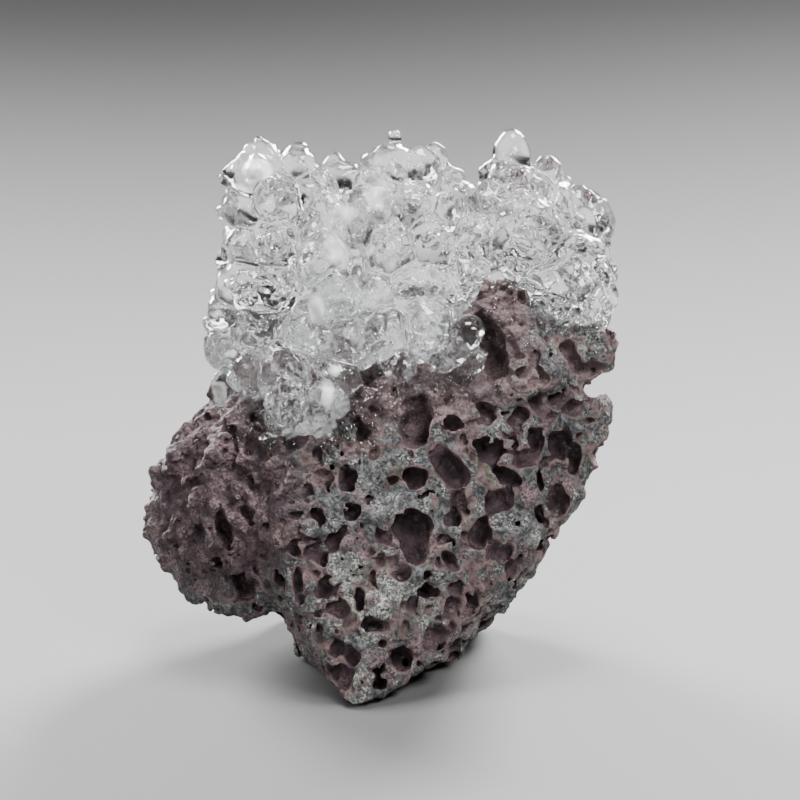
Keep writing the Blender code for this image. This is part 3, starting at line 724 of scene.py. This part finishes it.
def buildCrust(glass):
    grain = crust["cell"] * mm * 1
    lobes = lobeTree().run(lobePoints(), {"Material": glass, "Detail": 4})
    parts = [lobes]
    for beads in crust["beads"]:
        skin = joinedMesh("skin", [meshObject("part", part.data.copy()) for part in parts])
        modified(skin, "REMESH", mode="VOXEL", voxel_size=grain * crust["skinCell"])
        view = frontView(*coordinates(skin.data).T)
        setAttribute(skin.data, "chance", 1 - spotShare(crust["smooth"], *view))
        parts.append(strewn(skin, glass, beads))
    body = joinedMesh("crust", parts)
    box = coordinates(body.data)
    field = Field(box.min(0) - mm, box.max(0) + mm, grain, crust["far"] * mm).fromMesh(body.data)
    field.soften(1)
    field.warp([(width * mm, reach * mm) for width, reach in crust["warp"]], crust["seeds"]["warp"])
    for index, (width, depth) in enumerate(crust["ripples"]):
        field.values += field.waves(width * mm, crust["seeds"]["ripples"] + index) * depth * mm
    for right, up, back, radius, tall in crust["nubs"]:
        sizes = (radius * mm, radius * mm, radius * tall * mm)
        field.addEllipsoid(place(right, up, back), sizes, sightTurn, crust["nubFillet"] * mm)
    skin = lavaPiece.data  # a pale film of opal lies on the lava under the crust
    view = frontView(*coordinates(skin).T)
    film = smoothStep(field.sample(coordinates(skin)) / mm, *crust["film"]) * whiteShare(*view)
    setAttribute(skin, "film", film)
    cells = np.stack(np.meshgrid(*field.axes, indexing="ij"), -1).reshape(-1, 3)
    under = lavaBody.sample(cells).reshape(field.shape) + crust["embed"] * mm
    field.values = smoothMost(field.values, -under, crust["fillet"] * mm).astype(np.float32)
    bpy.data.objects.remove(body)
    piece = thinned(field.toObject("hyalite"), crust["most"])
    piece.data.shade_smooth()
    view = frontView(*coordinates(piece.data).T)
    facing = smoothStep(-normalsOf(piece.data) @ np.array(sight), *crust["facing"])
    setAttribute(piece.data, "white", whiteShare(*view))
    # painted highlights: frosted streaks on the surfaces turned to the front, kept with the milky spot in the
    # attribute milk
    highlightStreaks = facing * spotShare(crust["highlightStreaks"], *view, outer=1.4, inner=0.3)
    setAttribute(piece.data, "milk", np.maximum(spotShare(crust["milk"], *view), highlightStreaks))
    return piece


# Wraps a socket so that shader maths reads as plain expressions.
class Value:
    def __init__(self, shader, socket):
        self.shader, self.socket = shader, socket

    def math(self, operation, *others):
        return self.shader.math(operation, self, *others)

    def __add__(self, other):
        return self.math("ADD", other)

    def __radd__(self, other):
        return self.shader.math("ADD", other, self)

    def __sub__(self, other):
        return self.math("SUBTRACT", other)

    def __rsub__(self, other):
        return self.shader.math("SUBTRACT", other, self)

    def __mul__(self, other):
        return self.math("MULTIPLY", other)

    def __rmul__(self, other):
        return self.shader.math("MULTIPLY", other, self)

    def between(self, low, high):  # 0 below low, 1 above high, smooth between
        return self.shader.node(
            "ShaderNodeMapRange", {"interpolation_type": "SMOOTHSTEP", "clamp": True},
            {"Value": self, "From Min": low, "From Max": high}, "Result")


class Shader:
    def __init__(self, name):
        self.material = bpy.data.materials.new(name)
        self.material.use_nodes = True
        self.tree = self.material.node_tree
        self.surface = self.tree.nodes["Principled BSDF"]
        self.output = self.tree.nodes["Material Output"]
        self.where = self.node("ShaderNodeTexCoord", {}, {}, "Object")

    # one node: its settings first, then the values or links of its sockets
    def node(self, kind, settings, sockets, out=0):
        made = self.tree.nodes.new(kind)
        for name, value in settings.items():
            setattr(made, name, value)
        for name, value in sockets.items():
            self.put(made.inputs[name], value)
        return Value(self, made.outputs[out])

    def put(self, socket, value):
        if isinstance(value, Value):
            self.tree.links.new(value.socket, socket)
        else:
            socket.default_value = (*value, 1.0) if socket.type == "RGBA" else value

    def math(self, operation, *values, clamp=False):
        settings = {"operation": operation, "use_clamp": clamp}
        return self.node("ShaderNodeMath", settings, dict(enumerate(values)))

    def attribute(self, name):
        return self.node("ShaderNodeAttribute", {"attribute_name": name}, {}, "Fac")

    def noise(self, width, detail=3.0, roughness=0.55, distortion=0.0):  # width in mm
        return self.node(
            "ShaderNodeTexNoise", {"noise_dimensions": "3D"},
            {"Vector": self.where, "Scale": 1 / (width * mm), "Detail": detail,
             "Roughness": roughness, "Distortion": distortion}, "Fac")

    def cells(self, width):  # distance from the middles of cells, width in mm
        return self.node(
            "ShaderNodeTexVoronoi", {}, {"Vector": self.where, "Scale": 1 / (width * mm)}, "Distance")

    def mix(self, share, a, b):  # of two colours
        return self.node("ShaderNodeMix", {"data_type": "RGBA"}, {0: share, 6: a, 7: b}, 2)

    def bump(self, height, distance, strength):  # distance in mm
        sockets = {"Height": height, "Distance": distance * mm, "Strength": strength}
        return self.node("ShaderNodeBump", {}, sockets, "Normal")

    def set(self, **sockets):
        for name, value in sockets.items():
            self.put(self.surface.inputs[name.replace("_", " ")], value)


lavaFinish = {
    # the darkest wall colour gives both a darker wall tone and the painted shade deep in the vesicles
    "wall": (0.086, 0.056, 0.064), "darkWallAndShade": (0.028, 0.017, 0.021), "pink": (0.200, 0.142, 0.146),
    "broken": (0.150, 0.153, 0.150), "brokenDark": (0.028, 0.030, 0.033),
    "film": (0.80, 0.80, 0.79), "white": (0.46, 0.46, 0.42), "grey": (0.20, 0.205, 0.19),
    "rimColour": (0.23, 0.165, 0.15), "olive": (0.085, 0.078, 0.035),
    "highFrom": 18, "highTo": 25,  # mm up, between which the walls grow lighter
    "roughness": 0.90, "shine": 0.25, "bumpDeep": 0.20, "bumpStrength": 0.9,
}


# purple-brown walls with painted shade deep in the vesicles, grey broken faces with pale grains, pale rims,
# and a film of opal by the crust
def lavaMaterial():
    s = Shader("lava")
    c = lavaFinish
    depth, rim, lumpy, pale = [s.attribute(name) for name in ("depth", "rim", "lumpy", "pale")]
    wander = s.noise(0.9, 3.0) - 0.5
    patches = s.noise(2.4, 3.0, 0.6)
    fine = s.noise(0.22, 3.0, 0.65)
    wall = s.mix(s.noise(0.9, 4.0, 0.65).between(0.36, 0.66), c["wall"], c["darkWallAndShade"])
    high = s.node("ShaderNodeSeparateXYZ", {}, {"Vector": s.where}, "Z")
    high = high.between(c["highFrom"] * mm, c["highTo"] * mm)
    pink = (patches + wander * 0.4 + high * 0.1 + lumpy * 0.05).between(0.5, 0.62)
    wall = s.mix(pink * fine.between(0.35, 0.6), wall, c["pink"])
    wall = s.mix(high * 0.36, wall, c["pink"])
    # painted shade: the walls take the darkest wall colour deeper inside the vesicles, less so higher up
    wall = s.mix((depth + wander * 0.6).between(0.3, 1.8) * (0.55 - high * 0.3), wall, c["darkWallAndShade"])
    grains = s.noise(0.45, 4.0, 0.75).between(0.40, 0.60)
    broken = s.mix(grains, c["brokenDark"], c["broken"])
    broken = s.mix(pale * s.noise(1.1, 3.0).between(0.36, 0.6) * 0.55, broken, c["grey"])
    crystals = (fine + pale * 0.05).between(0.53, 0.62)
    crystals = crystals * (s.noise(1.6, 2.0) + pale * 0.10).between(0.46, 0.64)
    broken = s.mix(crystals * 0.9, broken, c["white"])
    broken = s.mix(s.noise(2.0, 3.0).between(0.60, 0.70) * 0.5, broken, c["olive"])
    dark = s.noise(1.3, 4.0, 0.65).between(0.50, 0.62) * (0.7 - pale * 0.3)
    broken = s.mix(dark, broken, c["brokenDark"])
    face = (rim + wander * 0.35).between(0.03, 0.16) * (1 - lumpy * 0.93)
    face = face * (patches + wander * 0.5).between(0.66, 0.50)
    colour = s.mix(face, wall, broken)
    edge = (rim - 0.03).math("ABSOLUTE") + wander.math("ABSOLUTE") * 0.2
    edge = edge.between(0.13, 0.02) * depth.between(0.5, 0.1) * 0.55
    colour = s.mix(edge * (1 - lumpy * 0.6), colour, c["rimColour"])
    film = (s.attribute("film") * 1.6 + wander * 0.9).between(0.30, 0.75)
    colour = s.mix(film, colour, c["film"])
    coarse = s.noise(0.6, 3.0, 0.6)
    clods = s.cells(0.45)
    height = fine * 0.7 + coarse * (1 + lumpy * 0.6) - clods * lumpy * 1.5
    s.set(Base_Color=colour, Roughness=c["roughness"] - fine * 0.35, Specular_IOR_Level=c["shine"],
          Normal=s.bump(height, c["bumpDeep"], c["bumpStrength"]))
    return s.material


lavaPiece.data.materials.clear()
lavaPiece.data.materials.append(lavaMaterial())
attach(lavaPiece, "root")
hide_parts("matrix")


glassFinish = {
    "tint": (0.985, 0.99, 0.99), "ior": 1.46, "roughness": 0.02,
    "absorb": (0.90, 0.93, 0.94), "density": 25.0,
    # the frost colour serves both the milky opal and the painted highlights
    "frostAndHighlight": (0.95, 0.955, 0.96), "frostRough": 0.35, "frostThrough": 0.2,
    "bumpDeep": 0.30, "bumpStrength": 0.16,
    "causticLines": 0.50, "causticThreads": 0.20, "veils": 0.30,  # shares of frosted glass where the crust is whitest: the thin lines and threads are painted caustic highlights, the veils milky opal
}


# clear glass, with a share of frosted glass: milky veils and a milky spot, and painted highlights as thin
# frosted lines, threads and streaks
def glassMaterial():
    s = Shader("hyalite")
    g = glassFinish
    white = s.attribute("white")
    ripple = s.noise(1.0, 2.0, 0.5, 1.2)
    fine = s.noise(0.34, 2.0, 0.55, 0.8)
    terraces = s.node("ShaderNodeTexWave", {"bands_direction": "Z"}, {
        "Vector": s.where, "Scale": 0.32 / mm, "Distortion": 3.0, "Detail": 2.0, "Detail Scale": 0.6}, "Fac")
    terraces = terraces * s.noise(2.6, 1.0).between(0.50, 0.58)
    height = ripple + fine * (0.2 + white * 0.1) + terraces * 0.12
    normal = s.bump(height, g["bumpDeep"], g["bumpStrength"])
    s.set(Base_Color=g["tint"], Roughness=g["roughness"], IOR=g["ior"], Transmission_Weight=1.0,
          Normal=normal)
    frostAndHighlight = s.node("ShaderNodeBsdfPrincipled", {}, {
        "Base Color": g["frostAndHighlight"], "Roughness": g["frostRough"], "IOR": g["ior"],
        "Transmission Weight": g["frostThrough"], "Normal": normal})
    # milk holds the milky spot and the painted highlight streaks
    milk = (s.attribute("milk") + (s.noise(0.8, 3.0) - 0.5) * 0.9).between(0.15, 0.9)
    # painted highlights: thin frosted lines and threads stand in for the bright caustic lines that light
    # draws in the glass
    causticLines = (s.noise(1.3, 3.0, 0.6, 1.4) - 0.5).math("ABSOLUTE").between(0.022, 0.0)
    causticThreads = (s.noise(0.6, 2.0, 0.6, 1.0) - 0.5).math("ABSOLUTE").between(0.035, 0.0)
    veils = s.noise(0.7, 4.0, 0.7, 0.6).between(0.52, 0.62)
    share = white * white * (g["causticLines"] * causticLines + g["causticThreads"] * causticThreads + g["veils"] * veils)
    share = s.math("MAXIMUM", milk, share, clamp=True)
    clear = Value(s, s.surface.outputs[0])
    s.put(s.output.inputs["Surface"], s.node("ShaderNodeMixShader", {}, {0: share, 1: clear, 2: frostAndHighlight}))
    absorb = s.node("ShaderNodeVolumeAbsorption", {}, {"Color": g["absorb"], "Density": g["density"]})
    s.put(s.output.inputs["Volume"], absorb)
    return s.material


glass = glassMaterial()
crustPiece = buildCrust(glass)
crustPiece.data.materials.clear()
crustPiece.data.materials.append(glass)
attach(crustPiece, "root")
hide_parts("hyalite")
print("crust made:", len(crustPiece.data.polygons), "triangles")


# Fine glassy droplets dust the lava by the crust.
droplets = {
    "apart": 0.34, "small": 0.12, "large": 0.40,  # mm
    "sink": 0.2, "flat": 0.9, "detail": 2, "seed": 9,
    "patch": 1.2, "bare": 0.32,  # how wide their patches are, in mm, and how much lies bare
    "reach": 4.5,  # mm from the crust at which they end
    "full": 0.1,  # share of that reach within which they lie closest
    # where the front has most
    "patches": [
        (0.6, 24.8, 6.6, 3.4, 1.0), (6.0, 28.2, 2.2, 1.9, 1.0), (-13.6, 23.4, 1.6, 1.3, 0.7),
        (-8.8, 22.6, 2.2, 1.0, 0.7), (-12.2, 21.6, 1.2, 0.8, 0.5), (10.4, 33.8, 1.6, 3.0, 0.35),
        (17.0, 31.6, 2.6, 1.0, 0.4),
    ],
    "elsewhere": 0.12,
}


def buildDroplets(glass):
    points = coordinates(lavaPiece.data)
    right, up = frontView(*points.T)
    chance = np.maximum(droplets["elsewhere"], spotShare(droplets["patches"], right, up))
    tree = BVHTree.FromObject(crustPiece, bpy.context.evaluated_depsgraph_get())
    reach = droplets["reach"] * mm
    near = [tree.find_nearest(Vector(point), reach)[3] for point in points]
    near = np.array([reach if away is None else away for away in near])
    bed = meshObject("droplets", lavaPiece.data.copy())
    setAttribute(bed.data, "chance", chance * smoothStep(near, reach, droplets["full"] * reach))
    return strewn(bed, glass, droplets)


dropletsPiece = buildDroplets(glass)
dropletsPiece.data.shade_smooth()
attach(dropletsPiece, "root")
print("droplets made:", len(dropletsPiece.data.polygons), "triangles")


studio = {
    "pixelsPerMm": 12.0, "imageWidth": 800, "middle": (1.75, 25.5, 10.0),  # right, up, back in mm
    "distance": 0.62, "sensor": 36,  # m, mm
    "aim": (0, 0, 0.022), "floorHalf": 3.0, "clip": (0.01, 20),  # m
    "floorColour": (0.14, 0.139, 0.138), "floorRough": 0.7, "world": (0.02, 0.0205, 0.021),
}


def addCamera():
    camera = bpy.data.objects.new("camera", bpy.data.cameras.new("camera"))
    bpy.context.scene.collection.objects.link(camera)
    camera.location = place(*studio["middle"]) - sight * studio["distance"]
    camera.rotation_euler = (math.pi / 2 - sightTilt, 0, 0)
    seen = studio["imageWidth"] / studio["pixelsPerMm"] * mm
    camera.data.sensor_width = studio["sensor"]
    camera.data.lens = studio["sensor"] * studio["distance"] / seen
    camera.data.clip_start, camera.data.clip_end = studio["clip"]
    bpy.context.scene.camera = camera


# Soft lamps round the piece and two small ones for glints: where they hang and how wide they are, in m,
# how far they spread, in degrees, and their power.
lamps = {
    "key": {"at": (0.24, -0.30, 0.38), "wide": 0.16, "spread": 90, "power": 0.62},
    "fill": {"at": (-0.42, -0.24, 0.20), "wide": 0.20, "spread": 80, "power": 0.17},
    "top": {"at": (0.03, 0.06, 0.50), "wide": 0.18, "spread": 90, "power": 0.95},
    "backRight": {"at": (0.16, 0.34, 0.20), "wide": 0.17, "spread": 45, "power": 0.62},
    "backLeft": {"at": (-0.20, 0.30, 0.14), "wide": 0.16, "spread": 45, "power": 0.52},
    "sparkRight": {"at": (0.13, -0.40, 0.30), "wide": 0.05, "spread": 180, "power": 0.60},
    "sparkLeft": {"at": (-0.15, -0.42, 0.15), "wide": 0.035, "spread": 180, "power": 0.32},
}


def addLamp(name, lamp):
    data = bpy.data.lights.new(name, "AREA")
    data.shape = "DISK"
    data.size = lamp["wide"]
    data.energy = lamp["power"]
    data.spread = math.radians(lamp["spread"])
    made = bpy.data.objects.new(name, data)
    bpy.context.scene.collection.objects.link(made)
    made.location = lamp["at"]
    made.rotation_euler = (Vector(studio["aim"]) - made.location).to_track_quat("-Z", "Y").to_euler()


def addFloor():
    bm = bmesh.new()
    bmesh.ops.create_grid(bm, x_segments=1, y_segments=1, size=studio["floorHalf"])
    mesh = bpy.data.meshes.new("floor")
    bm.to_mesh(mesh)
    bm.free()
    floor = meshObject("floor", mesh)
    s = Shader("floor")
    s.set(Base_Color=studio["floorColour"], Roughness=studio["floorRough"])
    mesh.materials.append(s.material)


def addWorld():
    world = bpy.data.worlds.new("studio")
    world.use_nodes = True
    bpy.context.scene.world = world
    world.node_tree.nodes["Background"].inputs["Color"].default_value = (*studio["world"], 1)


addCamera()
addFloor()
addWorld()
for name, lamp in lamps.items():
    addLamp(name, lamp)
print("studio made")
